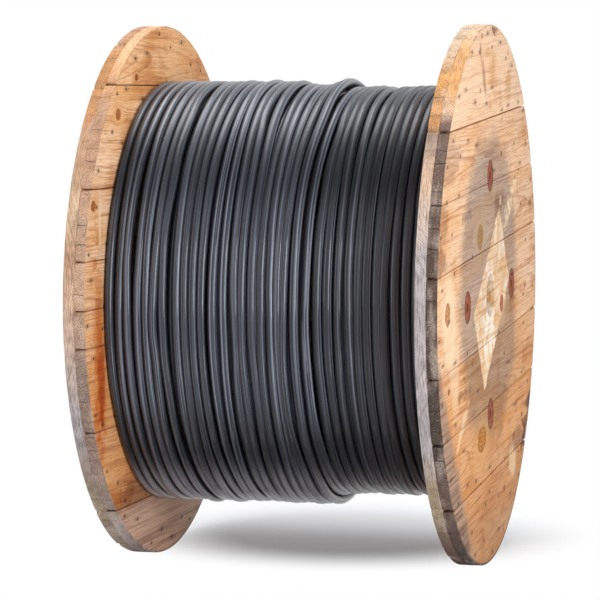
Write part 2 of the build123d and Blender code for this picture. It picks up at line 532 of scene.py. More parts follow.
# %% Where the nails are
# For each ring: how many nails, its radius, how far it zigzags, how far its nails scatter, and a seed
NAIL_RINGS = (
    (41, 0.470, 0.012, 0.012, 3.0),
    (29, 0.376, 0.016, 0.018, 8.0),
    (9, 0.262, 0.050, 0.060, 5.0),
)
NAIL_FACES = {"right_outer": 0.0, "right_inner": 20.0, "left_inner": 40.0, "left_outer": 60.0}
NAIL_STRAY = 0.62


def nail_place(tree, number, ring, face_seed):
    """The place across the flange of a nail, from its number in the ring."""
    count, radius, zigzag, scatter, seed = ring
    lot = add(tree, "ShaderNodeTexWhiteNoise",
              {"Vector": joined(tree, number, seed + face_seed, 0.0)}, noise_dimensions="3D")
    chance = parts_of(tree, lot.outputs["Color"])
    shift = minus(tree, chance[0], 0.5)
    angle = times(tree, times_plus(tree, shift, NAIL_STRAY, number), 2 * math.pi / count)
    swing = times_plus(tree, calc(tree, "MODULO", number, 2.0), 2 * zigzag, radius - zigzag)
    swing = times_plus(tree, minus(tree, chance[1], 0.5), scatter, swing)
    y = times(tree, calc(tree, "COSINE", angle), swing)
    z = times(tree, calc(tree, "SINE", angle), swing)
    return y, z, chance[2]


print(sum(ring[0] for ring in NAIL_RINGS), "nails on each face of a flange")

# %% [markdown]
# To stain the wood, the rule is turned round. A point on the face looks up which nail of each ring is
# the nearest by its angle, asks the rule where that nail is, and measures the way to it along and
# across the grain. Near the nail it is dark and pressed in, and a longer stain follows the grain.

# %% Stains round the nails
STAIN_WIDTH = 0.0040
# The least reach of a stain along the grain, and how much chance can add to it
STAIN_REACH = (0.005, 0.016)
NAIL_STAIN = linear(44, 32, 28)


def turned(tree, y, z, turn):
    """A way across the flange, taken along and across a direction turned by so many degrees."""
    cosine, sine = math.cos(math.radians(turn)), math.sin(math.radians(turn))
    along = times_plus(tree, y, cosine, times(tree, z, sine))
    across = times_plus(tree, z, cosine, times(tree, y, -sine))
    return along, across


def nail_stains(tree, up, y, face_seed, grain_turn, smear):
    """How strongly the nails stain the wood here, and how deep the wood is pressed round them."""
    stain, dent = 0.0, 0.0
    for ring in NAIL_RINGS:
        count = ring[0]
        angle = calc(tree, "ARCTAN2", up, y)
        number = calc(tree, "ROUND", times(tree, angle, count / (2 * math.pi)))
        number = calc(tree, "FLOORED_MODULO", number, float(count))
        nail_y, nail_z, chance = nail_place(tree, number, ring, face_seed)
        along, across = turned(tree, minus(tree, y, nail_y), minus(tree, up, nail_z), grain_turn)
        near = vec(tree, "LENGTH", joined(tree, along, across, 0.0))
        reach = times_plus(tree, chance, STAIN_REACH[1], STAIN_REACH[0])
        drawn = joined(tree, calc(tree, "DIVIDE", along, reach),
                       calc(tree, "DIVIDE", across, STAIN_WIDTH), 0.0)
        drawn = times_plus(tree, smear, 2.0, vec(tree, "LENGTH", drawn))
        mark = calc(tree, "MAXIMUM", smooth(tree, drawn, 0.5, 1.6, 0.40, 0.0),
                    smooth(tree, near, 0.0026, 0.0042, 0.9, 0.0))
        stain = calc(tree, "MAXIMUM", stain, mark)
        dent = calc(tree, "MAXIMUM", dent, smooth(tree, near, 0.003, 0.007, 1.0, 0.0))
    return stain, dent


print("a nail's stain reaches", STAIN_REACH[0], "to", round(sum(STAIN_REACH), 3), "m before it fades")

# %% [markdown]
# Some stains are single things at a place that the photograph shows, such as a drip or a scuff. A spot
# is the simplest mask for one: measure how far a point lies from the middle, along and across a
# direction, and fade out with that distance. Noise added to the distance makes its edge ragged.

# %% Stains by their place on a flange
def laid(tree, flat, y, z, turn):
    """How far a point lies from a place, along and across a direction turned by so many degrees."""
    cosine, sine = math.cos(math.radians(turn)), math.sin(math.radians(turn))
    away = vec(tree, "SUBTRACT", flat, (0.0, y, z))
    return (vec(tree, "DOT_PRODUCT", away, (0.0, cosine, sine)),
            vec(tree, "DOT_PRODUCT", away, (0.0, -sine, cosine)))


def spot(tree, flat, y, z, inner, outer, long=1.0, turn=0.0, ragged=None):
    """A round or long stain: 1 within inner, fading to 0 at outer, its ends ragged by noise."""
    along, across = laid(tree, flat, y, z, turn)
    far = vec(tree, "LENGTH", joined(tree, calc(tree, "DIVIDE", along, long), across, 0.0))
    if ragged is not None:
        far = plus(tree, far, ragged)
    return smooth(tree, far, inner, outer, 1.0, 0.0)


def marks(tree, flat, grime, listed, heart, rag):
    """The mask of each spot in a list; heart is the share of its size at which it is whole."""
    for place, size, long, turn, strength in listed:
        mark = spot(tree, flat, *place, size * heart, size, long, turn, uneven(tree, grime, rag))
        yield times(tree, mark, strength)


print("helpers for stains: laid, spot, marks")

# %% [markdown]
# A few knots are large enough to be known by their place, so they are put there one by one and not left
# to chance. Each bends the grain like the small ones, and is then painted over the stains with two
# colours of its own: one for its heart, and one for the grain round it.

# %% Chosen knots
def knot_at(tree, grain, y, up, place, size, turn):
    """One chosen knot, at a place across the flange."""
    along, across = turned(tree, minus(tree, y, place[0]), minus(tree, up, place[1]), turn)
    made = add(tree, "ShaderNodeGroup", {"Grain": grain, "Offset": joined(tree, along, across, 0.0),
               "Long": size[0], "Wide": size[1]}, node_tree=KNOT)
    return made.outputs


def painted_knot(tree, color, knot, heart, ring, flat):
    """Lays a knot over the wood: a ring of bent grain, and a flecked heart."""
    color = tint(tree, times(tree, knot["Halo"], 0.7), color, ring)
    fleck = noise(tree, flat, 150.0, 3.0, 0.7)
    dark = smooth(tree, times_plus(tree, knot["Rings"], 0.30, fleck), 0.50, 0.85, 0.0, 0.9)
    rings = tint(tree, dark, heart, KNOT_DARK)
    return tint(tree, times(tree, knot["Mask"], 0.92), color, rings)


print("helpers for knots: knot_at, painted_knot")

# %% [markdown]
# The rim is where the boards were sawn round, so it shows side grain where it runs along a board and
# end grain where it crosses one. It has old paint and dirt, rubbed pale in places, the fine marks of
# the saw across it, and cracks where the ends have dried. All of it is worked out from the way round
# the rim, in metres, and the place along the drum.

# %% Weathered rims
SAW_PITCH = 0.0052
CRACKS_PER_METRE = 26.0
RUBBED_PAINT = linear(232, 214, 200)
PALE_FIBRE = linear(206, 198, 192)


def rim_place(tree, y, up, grime, face):
    """The way round the rim in metres, and where its paint lies: the rim, and a worn line beside it."""
    around = times(tree, calc(tree, "ARCTAN2", up, times(tree, y, -1.0)), FLANGE_RADIUS)
    away = vec(tree, "LENGTH", joined(tree, 0.0, y, up))
    worn = smooth(tree, times_plus(tree, grime, 0.006, away), FLANGE_RADIUS - 0.003, FLANGE_RADIUS + 0.001)
    side = both(tree, smooth(tree, away, FLANGE_RADIUS - 0.020, FLANGE_RADIUS - 0.008),
                minus(tree, 1.0, face))
    return around, both(tree, calc(tree, "MAXIMUM", worn, side), attribute(tree, "rim_share", "Fac"))


def rim_fibres(tree, x, around, flat, grime, end):
    """Fibres and saw marks where the rim shows side grain, and pores where it shows end grain."""
    lay = joined(tree, times(tree, around, 40.0), times(tree, x, 520.0), 0.0)
    fibres = noise(tree, lay, 1.0, 4.0, 0.65)
    pores = noise(tree, flat, 430.0, 3.0, 0.7)
    saw = calc(tree, "SINE", times(tree, times_plus(tree, x, 0.9, around), 2 * math.pi / SAW_PITCH))
    fibres = times_plus(tree, both(tree, saw, smooth(tree, grime, 0.4, 0.7)), 0.09, fibres)
    return plus(tree, times(tree, pores, end), times(tree, fibres, minus(tree, 1.0, end)))


def rim_cracks(tree, x, around, end, rim):
    """Cracks across the rim, where a board's end grain has dried."""
    lay = joined(tree, times(tree, around, 14.0), times(tree, x, 70.0), 3.0)
    wobble = uneven(tree, noise(tree, lay, 1.0, 2.0), 0.008)
    place = times(tree, plus(tree, around, wobble), CRACKS_PER_METRE)
    split = add(tree, "ShaderNodeTexVoronoi", {"W": place, "Scale": 1.0}, voronoi_dimensions="1D").outputs
    chance = add(tree, "ShaderNodeSeparateColor", {0: split["Color"]}).outputs[0]
    crack = both(tree, smooth(tree, split["Distance"], 0.008, 0.040, 1.0, 0.0),
                 smooth(tree, chance, 0.25, 0.75))
    return both(tree, both(tree, crack, end), rim)


def rim_color(tree, wood, flat, grime, fibres):
    """The rim's old paint: the board's own colours, worn pale in places, with the late wood and fibres
    showing.
    """
    old = scaled(tree, attribute(tree, "rim_color"), smooth(tree, grime, 0.25, 0.75, 0.68, 1.22))
    # Here the mask is where the rim's paint is rubbed pale.
    rubbed_or_painted_shade = stretched(tree, flat, 30.0, 9.0, 4.0, 0.6)
    old = tint(tree, smooth(tree, rubbed_or_painted_shade, 0.50, 0.68, 0.0, 0.42), old, RUBBED_PAINT)
    old = wash(tree, times(tree, wood["Late"], 0.55), old, (0.42, 0.38, 0.36))
    old = wash(tree, smooth(tree, fibres, 0.42, 0.66, 0.0, 0.85), old, (0.36, 0.33, 0.31))
    return tint(tree, smooth(tree, fibres, 0.28, 0.42, 0.42, 0.0), old, PALE_FIBRE)


print(f"saw marks every {SAW_PITCH * 1000:.1f} mm round the rim")

# %% [markdown]
# One function now puts a layer's finish together, coat by coat: the wood, the stains of that layer,
# the chosen knots, the nails' stains, the rim and its cracks. The layers differ only in what is
# handed to it, so a better coat in one place is better on every board.

# %% Board finish
CRACK_DARK = linear(30, 24, 22)
WOOD_GLOSS = 0.25


def board_material(name, turn, weather, knots=(), random_knots=1.0):
    """Softwood on the boards of one layer; weather adds that layer's stains to the colour."""
    made, tree, shader = new_material(name)
    source = add(tree, "ShaderNodeTexCoord").outputs
    x, y, z = parts_of(tree, source["Object"])
    up = minus(tree, z, AXIS_Z)
    flat = joined(tree, x, y, up)
    grain = attribute(tree, "grain")
    chosen = []
    for place, size, heart, ring in knots:
        knot = knot_at(tree, grain, y, up, place, size, turn)
        grain = knot["Grain"]
        chosen.append((knot, heart, ring))
    wood = add(tree, "ShaderNodeGroup", {"Grain": grain, "Along": attribute(tree, "along"),
               "Warmth": attribute(tree, "warmth", "Fac"), "Knots": random_knots},
               node_tree=SOFTWOOD).outputs
    blotch = noise(tree, flat, 6.5, 3.0, 0.55)
    grime = noise(tree, flat, 34.0, 4.0, 0.65)
    tone = times_plus(tree, blotch, 0.16, minus(tree, attribute(tree, "tone", "Fac"), 0.08))
    color = scaled(tree, wood["Color"], tone)
    color = weather(tree, color, y, up, flat, blotch, grime, wood["Streak"])
    for knot, heart, ring in chosen:
        color = painted_knot(tree, color, knot, heart, ring, flat)
    face = smooth(tree, calc(tree, "ABSOLUTE", parts_of(tree, source["Normal"])[0]), 0.7, 0.9)
    stain, dent = nail_stains(tree, up, y, NAIL_FACES[name], turn, minus(tree, grime, 0.5))
    color = tint(tree, times(tree, both(tree, stain, face), 0.78), color, NAIL_STAIN)
    around, rim = rim_place(tree, y, up, grime, face)
    fibres = rim_fibres(tree, x, around, flat, grime, wood["End"])
    crack = rim_cracks(tree, x, around, wood["End"], rim)
    color = tint(tree, rim, color, rim_color(tree, wood, flat, grime, fibres))
    color = tint(tree, times(tree, crack, 0.85), color, CRACK_DARK)
    plug(tree, shader.inputs["Base Color"], color)
    plug(tree, shader.inputs["Roughness"], smooth(tree, wood["Fibre"], 0.2, 0.8, 0.60, 0.84))
    shader.inputs["Specular IOR Level"].default_value = WOOD_GLOSS
    height = times_plus(tree, dent, -1.6, wood["Height"])
    height = times_plus(tree, crack, -2.0, height)
    height = times_plus(tree, both(tree, rim, fibres), -1.6, height)
    roughen(tree, shader, height, 0.55, 0.0011)
    return made


print("a board's finish is built by board_material")

# %% [markdown]
# The right flange's outer face is the one that the photograph shows best, so its stains are put where
# they are seen: a bare patch that something covered for years, in a greyed round zone, brown dirt
# along the lower rim, and scuffs and drips. The patch was never exposed, so it is lighter and yellower
# than the wood round it.

# %% Bare patch
PATCH_TURN = 37.4
PATCH_MIDDLE = (0.0145, -0.005)
PATCH_HALF = (0.160, 0.093)
PATCH_EDGE = 0.006
BARE = linear(243, 212, 176)
BARE_WHITE = linear(250, 240, 226)


def bare_patch(tree, color, flat, grime, streak):
    """A patch of bare wood with gold and nearly white clouds."""
    edge = uneven(tree, grime, 0.020)
    patch = None
    for way, half in zip(laid(tree, flat, *PATCH_MIDDLE, PATCH_TURN), PATCH_HALF):
        far = plus(tree, calc(tree, "ABSOLUTE", way), edge)
        within = smooth(tree, far, half - PATCH_EDGE, half, 1.0, 0.0)
        patch = within if patch is None else both(tree, patch, within)
    color = tint(tree, times(tree, patch, 0.80), color, BARE)
    gold = smooth(tree, noise(tree, flat, 22.0, 4.0, 0.7), 0.44, 0.60, 0.0, 0.85)
    color = wash(tree, both(tree, patch, gold), color, (0.92, 0.74, 0.48))
    cloud = noise(tree, vec(tree, "ADD", flat, (3.0, 0.0, 0.0)), 30.0, 5.0, 0.75)
    pale = plus(tree, cloud, times(tree, spot(tree, flat, -0.01, -0.045, 0.02, 0.08, 1.6, 90), 0.14))
    white = smooth(tree, pale, 0.52, 0.62, 0.0, 0.85)
    color = tint(tree, both(tree, patch, white), color, BARE_WHITE)
    return wash(tree, both(tree, patch, smooth(tree, streak, 0.50, 0.62)), color, (0.84, 0.68, 0.50))


print(f"bare patch {2 * PATCH_HALF[0]:.2f} by {2 * PATCH_HALF[1]:.2f} m")

# %% [markdown]
# The smaller marks are lists. Each line says where a mark lies from the axis, how wide it is, how many
# times longer than wide, which way it is turned, and how strong. A list like this is easy to set
# beside the photograph and to correct mark by mark.

# %% Right flange, outer face
# For each mark: its place from the axis, its size, how long it is drawn, its turn and its strength
CREAM_MARKS = (
    ((0.098, 0.172), 0.010, 1.2, 0, 0.9), ((-0.03, -0.12), 0.02, 2.6, 38, 0.45),
    ((0.24, -0.335), 0.040, 1.2, 0, 0.55), ((-0.26, -0.215), 0.014, 5.0, 35, 0.5),
    ((-0.385, -0.020), 0.060, 1.9, 90, 0.55), ((-0.34, -0.11), 0.045, 2.4, 95, 0.35),
)
DARK_MARKS = (
    ((-0.075, 0.400), 0.016, 5.0, -58, 0.6), ((0.028, 0.490), 0.014, 3.0, 0, 1.0),
    ((-0.405, 0.255), 0.060, 2.2, 5, 0.4), ((-0.455, 0.150), 0.045, 1.6, 3, 0.5),
    ((-0.465, 0.085), 0.030, 2.2, 4, 0.7), ((0.090, 0.170), 0.030, 2.6, 10, 0.5),
    ((0.435, -0.235), 0.020, 3.0, 4, 1.0), ((0.437, -0.232), 0.016, 1.6, 40, 1.0),
    ((0.395, -0.275), 0.020, 3.4, 6, 1.0), ((0.372, -0.300), 0.018, 1.8, 60, 1.0),
    ((0.365, -0.318), 0.014, 3.0, 8, 0.9), ((0.30, -0.300), 0.028, 3.2, 4, 0.6),
    ((-0.24, 0.155), 0.010, 6.0, 3, 0.5), ((-0.27, -0.16), 0.010, 6.0, 3, 0.6),
)
CREAM = linear(244, 218, 180)
BLEACHED = linear(246, 212, 180)
TORN_WOOD = linear(248, 222, 178)
DIRT_LIGHT = linear(172, 144, 124)
DIRT_DARK = linear(92, 74, 66)


def weather_right_outer(tree, color, y, up, flat, blotch, grime, streak):
    """A greyed round zone, a bare patch, dirt along the lower rim and drips."""
    rag = plus(tree, uneven(tree, blotch, 0.10), uneven(tree, grime, 0.035))
    low = smooth(tree, plus(tree, up, uneven(tree, blotch, 0.35)), -0.26, 0.06, 1.0, 0.0)
    color = wash(tree, low, color, (0.90, 0.80, 0.66))
    lowest = smooth(tree, plus(tree, up, uneven(tree, blotch, 0.20)), -0.48, -0.26, 0.9, 0.0)
    color = wash(tree, lowest, color, (0.74, 0.74, 0.78))
    high = smooth(tree, plus(tree, up, uneven(tree, grime, 0.05)), 0.30, 0.36)
    color = tint(tree, times(tree, high, 0.30), color, BLEACHED)
    brown = smooth(tree, times_plus(tree, streak, 0.4, blotch), 0.74, 0.92)
    color = wash(tree, brown, color, (0.80, 0.66, 0.48))
    grey = spot(tree, flat, -0.010, 0.010, 0.250, 0.318, ragged=rag)
    broken = smooth(tree, plus(tree, grime, uneven(tree, streak, 0.6)), 0.05, 0.4, 0.75, 1.0)
    color = wash(tree, both(tree, grey, broken), color, (0.56, 0.60, 0.70))
    color = bare_patch(tree, color, flat, grime, streak)
    torn = both(tree, spot(tree, flat, 0.205, 0.170, 0.010, 0.024, 4.6, 33.0, uneven(tree, grime, 0.05)),
                smooth(tree, noise(tree, flat, 60.0, 3.0, 0.6), 0.40, 0.56))
    color = tint(tree, times(tree, torn, 0.9), color, TORN_WOOD)
    for mark in marks(tree, flat, grime, CREAM_MARKS, 0.6, 0.03):
        color = tint(tree, mark, color, CREAM)
    for mark in marks(tree, flat, grime, DARK_MARKS, 0.4, 0.05):
        color = wash(tree, mark, color, (0.34, 0.24, 0.19))
    chord = plus(tree, vec(tree, "DOT_PRODUCT", flat, (0.0, 0.764, 0.645)),
                 plus(tree, uneven(tree, grime, 0.05), uneven(tree, streak, 0.06)))
    dirt = smooth(tree, chord, -0.445, -0.408, 1.0, 0.0)
    dark = tint(tree, smooth(tree, streak, 0.35, 0.65), DIRT_LIGHT, DIRT_DARK)
    return tint(tree, times(tree, dirt, 0.84), color, dark)


print(len(CREAM_MARKS) + len(DARK_MARKS), "marks on the right face")

# %% [markdown]
# Two layers show little but their rims: the right flange's inner one and the left flange's outer one.
# They get plain dirt, heavier towards the rim, as where hands and mud reach.

# %% Plain dirt
def weather_plain(tree, color, y, up, flat, blotch, grime, streak):
    """Plain dirt, heavier towards the rim."""
    away = vec(tree, "LENGTH", joined(tree, 0.0, y, up))
    dirt = smooth(tree, plus(tree, away, uneven(tree, blotch, 0.30)), 0.38, 0.56)
    color = wash(tree, times(tree, dirt, 0.6), color, (0.62, 0.58, 0.56))
    return wash(tree, smooth(tree, streak, 0.50, 0.75, 0.0, 0.6), color, (0.66, 0.52, 0.40))


print("plain dirt for the two layers that show little but their rims")

# %% [markdown]
# The left flange's inner face is seen past the cable. It has kept more of its orange, since the cable
# shades it, but water has run down it near the rim and carried rust with it. Its stains are spots
# too, most of them long and upright, as water runs. One dark spot low down is painted shade.

# %% Left flange, inner face
PALE_FOOT = linear(212, 184, 168)


def weather_left_inner(tree, color, y, up, flat, blotch, grime, streak):
    """Orange tan, with a rust run at the near edge, painted shade in one spot and darker, greyer boards low
    down.
    """
    wide = plus(tree, up, uneven(tree, blotch, 0.20))
    color = wash(tree, smooth(tree, wide, 0.15, 0.40), color, (1.0, 0.95, 0.84))
    color = wash(tree, smooth(tree, wide, -0.20, 0.12, 1.0, 0.0), color, (0.94, 0.84, 0.74))
    brown = smooth(tree, times_plus(tree, streak, 0.5, blotch), 0.72, 0.95)
    color = wash(tree, brown, color, (0.76, 0.60, 0.44))
    rust = spot(tree, flat, -0.412, -0.120, 0.014, 0.050, 4.6, 90, uneven(tree, grime, 0.08))
    color = wash(tree, rust, color, (0.82, 0.50, 0.25))
    deep = spot(tree, flat, -0.405, -0.140, 0.006, 0.030, 4.2, 94, uneven(tree, grime, 0.05))
    color = wash(tree, deep, color, (0.70, 0.42, 0.26))
    drips = both(tree, spot(tree, flat, -0.425, 0.06, 0.012, 0.045, 5.0, 90, uneven(tree, grime, 0.07)),
                 smooth(tree, grime, 0.48, 0.60))
    color = wash(tree, drips, color, (0.74, 0.50, 0.32))
    cream = both(tree, spot(tree, flat, -0.408, 0.145, 0.003, 0.009, 9.0, 90, uneven(tree, grime, 0.012)),
                 smooth(tree, grime, 0.35, 0.5))
    color = tint(tree, times(tree, cream, 0.7), color, CREAM)
    # A dark spot low down, under the winding, is painted shade.
    shade = spot(tree, flat, -0.205, -0.368, 0.012, 0.045, 3.4, 0, uneven(tree, grime, 0.06))
    color = wash(tree, times(tree, shade, 0.8), color, (0.40, 0.30, 0.24))
    bottom = smooth(tree, plus(tree, up, uneven(tree, grime, 0.04)), -0.395, -0.375, 1.0, 0.0)
    color = tint(tree, times(tree, bottom, 0.62), color, PALE_FOOT)
    return wash(tree, both(tree, bottom, smooth(tree, streak, 0.45, 0.65)), color, (0.66, 0.60, 0.58))


print("stains for the left flange's inner face")

# %% [markdown]
# The four layers can now be finished. The boards of a flange's two layers cross, so each layer has its
# own turn, and the right flange sits 3.4 degrees turned on the barrel. A few knots are seen clearly
# enough to be put at their place, with a colour for their heart and one for the grain round it.

# %% Finishes of the four layers
RIGHT_TURN = 3.4
LAYER_TURN = {"right_outer": RIGHT_TURN, "right_inner": RIGHT_TURN + 90.0,
              "left_inner": 0.0, "left_outer": 90.0}
# For each knot: its place from the axis, its half length and half width, its heart and its ring
RIGHT_KNOTS = (
    ((-0.105, 0.113), (0.030, 0.025), linear(180, 134, 66), linear(186, 152, 116)),
    ((-0.405, -0.007), (0.026, 0.023), linear(218, 150, 84), linear(252, 226, 190)),
    ((0.115, -0.023), (0.020, 0.018), linear(186, 104, 50), linear(238, 196, 150)),
    ((-0.080, -0.260), (0.048, 0.026), linear(208, 132, 40), linear(226, 172, 104)),
)
LEFT_KNOTS = (
    ((-0.300, 0.335), (0.016, 0.012), linear(190, 110, 50), linear(226, 164, 96)),
    ((-0.445, 0.175), (0.014, 0.011), linear(180, 100, 48), linear(220, 158, 92)),
)
LAYER_WEATHER = {
    "right_outer": (weather_right_outer, RIGHT_KNOTS, 0.40),
    "right_inner": (weather_plain,),
    "left_inner": (weather_left_inner, LEFT_KNOTS, 0.5),
    "left_outer": (weather_plain,),
}
LAYER_FINISH = {layer: board_material(layer, LAYER_TURN[layer], *finish)
                for layer, finish in LAYER_WEATHER.items()}
print("wood finishes:", ", ".join(LAYER_FINISH))

# %% [markdown]
# No two boards of an old flange match, so each gets its own warmth, from pale to orange, and its own
# brightness. The sawn rims have weathered by height: what stood up stayed orange, and what stood near
# the ground is grey and brown. So each layer's rim has a short list of heights with a paint for each,
# and how much of the bare wood it covers.

# %% Each board's look
YELLOW = linear(246, 180, 106)
ORANGE = linear(230, 168, 108)
CREAM_WOOD = linear(248, 214, 180)
TAN = linear(212, 166, 134)
TAN_PINK = linear(236, 200, 172)
BROWN = linear(128, 106, 95)
DARK_BROWN = linear(84, 70, 62)
GREY_BROWN = linear(166, 148, 136)
OLIVE = linear(178, 162, 134)
PINK_GREY = linear(186, 180, 182)
# The stops of each layer's rim, from the ground up: height from the axis, paint, and share of wood covered
RIM_PAINT = {
    "right_outer": (
        (-0.50, DARK_BROWN, 0.95), (-0.33, BROWN, 0.95), (-0.24, DARK_BROWN, 0.97),
        (0.0, DARK_BROWN, 0.97), (0.20, BROWN, 0.97), (0.32, BROWN, 0.95), (0.34, TAN_PINK, 0.8),
        (0.38, YELLOW, 0.9), (0.44, YELLOW, 0.85), (0.50, CREAM_WOOD, 0.9),
    ),
    "right_inner": (
        (-0.50, BROWN, 0.9), (-0.43, BROWN, 0.9), (-0.38, OLIVE, 0.9), (-0.31, OLIVE, 0.9),
        (-0.24, PINK_GREY, 0.95), (0.10, PINK_GREY, 0.95), (0.22, TAN_PINK, 0.9),
        (0.30, GREY_BROWN, 0.9), (0.317, ORANGE, 0.95), (0.40, YELLOW, 0.95), (0.44, CREAM_WOOD, 0.95),
        (0.50, CREAM_WOOD, 0.95),
    ),
    "left_inner": (
        (-0.50, GREY_BROWN, 0.9), (-0.43, PINK_GREY, 0.8), (-0.38, GREY_BROWN, 0.95),
        (-0.25, GREY_BROWN, 0.8), (-0.12, GREY_BROWN, 0.9), (0.0, TAN_PINK, 0.8),
        (0.10, TAN_PINK, 0.75), (0.20, TAN_PINK, 0.7), (0.32, TAN, 0.7), (0.43, ORANGE, 0.5),
        (0.50, CREAM_WOOD, 0.5),
    ),
    "left_outer": (
        (-0.50, GREY_BROWN, 0.95), (-0.38, OLIVE, 0.95), (-0.31, GREY_BROWN, 0.95),
        (-0.20, PINK_GREY, 0.95), (0.0, TAN_PINK, 0.92), (0.08, TAN, 0.9), (0.17, CREAM_WOOD, 0.8),
        (0.25, TAN, 0.7), (0.38, ORANGE, 0.7), (0.46, ORANGE, 0.8), (0.50, TAN, 0.9),
    ),
}
# Each board by its number: its warmth, from pale to orange, and its tone, how bright it is
BOARD_LOOK = {
    "right_outer": ((0.55, 0.98), (0.60, 0.98), (0.55, 0.97), (0.25, 1.01), (0.30, 0.98), (0.20, 1.02),
                    (0.05, 1.05)),
    "right_inner": ((0.3, 0.95),) * 5 + ((0.3, 0.98),) * 2,
    "left_inner": ((0.4, 0.98), (0.5, 1.00), (0.5, 1.00), (0.4, 1.02), (0.4, 1.04), (0.3, 1.06),
                   (0.3, 1.07), (0.4, 1.07)),
    "left_outer": ((0.3, 0.95),) * 5 + ((0.3, 0.98), (0.3, 1.0)),
}


def rim_paint(layer, height):
    """The paint of a layer's rim at a height from the axis, and how much of the wood it covers."""
    stops = RIM_PAINT[layer]
    for (low, first, first_share), (high, second, second_share) in zip(stops, stops[1:]):
        if height <= high:
            break
    along = min(max((height - low) / (high - low), 0.0), 1.0)
    paint = [a + (b - a) * along for a, b in zip(first, second)]
    return paint, first_share + (second_share - first_share) * along


print("rim paints for", ", ".join(RIM_PAINT))

# %% [markdown]
# A flat solid with knife-sharp edges reads as plastic. Real boards have edges worn round, most of all
# at their corners on the rim. Each board here is a copy of its solid, cleaned of the triangles on its
# flat faces, with the corners rounded first and every edge eased after. The copy also carries the
# grain coordinates and the rim colours that the wood material reads.

# %% Worn boards
EDGE_EASE = 0.0013
CORNER_ROUND = 0.008
LARGEST_INSET = 0.0028
FACE_WEAR = 0.0004
RIM_REACH = 0.0006
SAME_PLACE = 1e-5
NEARLY_THROUGH = 0.015
draw = random.Random(11)


def at_rim(vertex, inset=0.0):
    """Whether a vertex is on the flange's round edge."""
    return math.hypot(vertex.co.y, vertex.co.z - AXIS_Z) > FLANGE_RADIUS - inset - RIM_REACH


def cleaned(node):
    """The solid of a node as a mesh with whole flat faces."""
    shape = bmesh.new()
    shape.from_mesh(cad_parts[node].data)
    bmesh.ops.remove_doubles(shape, verts=shape.verts, dist=1e-6)
    bmesh.ops.dissolve_limit(shape, angle_limit=math.radians(0.5), verts=shape.verts, edges=shape.edges)
    return shape


def ease(shape, edges, amount, segments):
    """Rounds some edges of a mesh."""
    bmesh.ops.bevel(shape, geom=edges, offset=amount, segments=segments, profile=0.5,
                    affect="EDGES", clamp_overlap=True)


def worn_board(node, layer):
    """The solid of a board with its open faces worn, its rim a little uneven and its edges eased."""
    shape = cleaned(node)
    for vertex in shape.verts:
        for open_face, inwards in ((OUTER_FACE, -1), (INNER_FACE, 1)):
            if abs(abs(vertex.co.x) - open_face) < SAME_PLACE:
                vertex.co.x += math.copysign(FACE_WEAR, vertex.co.x) * inwards
    level = LAYER_TURN[layer] < 45 and not node.endswith(("_1", "_7", "_8"))
    inset = draw.uniform(0.0, LARGEST_INSET) if level else 0.0
    for vertex in [v for v in shape.verts if at_rim(v)]:
        vertex.co.y *= 1 - inset / FLANGE_RADIUS
        vertex.co.z = AXIS_Z + (vertex.co.z - AXIS_Z) * (1 - inset / FLANGE_RADIUS)
    corners = [e for e in shape.edges if all(at_rim(v, inset) for v in e.verts)
               and abs(e.verts[0].co.x - e.verts[1].co.x) > NEARLY_THROUGH
               and e.calc_face_angle(0.0) > math.radians(25)]
    ease(shape, corners, CORNER_ROUND, 3)
    ease(shape, [e for e in shape.edges if e.calc_face_angle(0.0) > math.radians(40)], EDGE_EASE, 2)
    return shape


print(f"edges eased by {EDGE_EASE * 1000:.1f} mm, corners rounded by {CORNER_ROUND * 1000:.0f} mm")

# %% [markdown]
# Now every board is made in turn, and random draws from a fixed seed give each its own place in its
# own tree, so that no two show the same rings, and the same boards come out every time. The material
# reads these values from attributes, one for each vertex.

# %% Boards
GRAIN_START = 40
GRAIN_OFF = 0.05
HEART_DEPTH = (0.02, 0.07)
RIM_SHADE = (0.86, 1.02)


def keep(mesh, name, kind, values):
    """Stores a value for each vertex."""
    field = "vector" if kind == "FLOAT_VECTOR" else "value"
    mesh.attributes.new(name, kind, "POINT").data.foreach_set(field, values)


def board_piece(node, layer, warmth, tone):
    """A board with worn edges and its own grain."""
    shape = worn_board(node, layer)
    mesh = bpy.data.meshes.new(node)
    shape.to_mesh(mesh)
    shape.free()
    mesh.shade_smooth()
    mesh.set_sharp_from_angle(angle=math.radians(32))
    angle = math.radians(LAYER_TURN[layer])
    along = Vector((0, math.cos(angle), math.sin(angle)))
    across = Vector((0, -math.sin(angle), math.cos(angle)))
    middle = sum((v.co for v in mesh.vertices), Vector()) / len(mesh.vertices)
    start, off = draw.uniform(0, GRAIN_START), draw.uniform(-GRAIN_OFF, GRAIN_OFF)
    depth = draw.uniform(*HEART_DEPTH) * draw.choice((-1, 1))
    shade = draw.uniform(*RIM_SHADE)
    grain, rim_color, rim_share = [], [], []
    for vertex in mesh.vertices:
        from_middle = vertex.co - middle
        grain += (start + from_middle.dot(along), from_middle.dot(across) + off, from_middle.x + depth)
        paint, share = rim_paint(layer, vertex.co.z - AXIS_Z)
        rim_color += [part * shade for part in paint]
        rim_share.append(share)
    count = len(mesh.vertices)
    keep(mesh, "grain", "FLOAT_VECTOR", grain)
    keep(mesh, "along", "FLOAT_VECTOR", list(along) * count)
    keep(mesh, "rim_color", "FLOAT_VECTOR", rim_color)
    keep(mesh, "rim_share", "FLOAT", rim_share)
    for name, value in (("warmth", warmth), ("tone", tone)):
        keep(mesh, name, "FLOAT", [value] * count)
    piece = in_scene(node + "_wood", mesh)
    mesh.materials.append(LAYER_FINISH[layer])
    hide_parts(node)
    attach(piece, "root")
    return piece


made_boards = [board_piece(f"{layer}_board_{number}", layer, warmth, tone)
               for layer, looks in BOARD_LOOK.items() for number, (warmth, tone) in enumerate(looks, 1)]
print(len(made_boards), "boards,", sum(len(b.data.polygons) for b in made_boards), "faces")

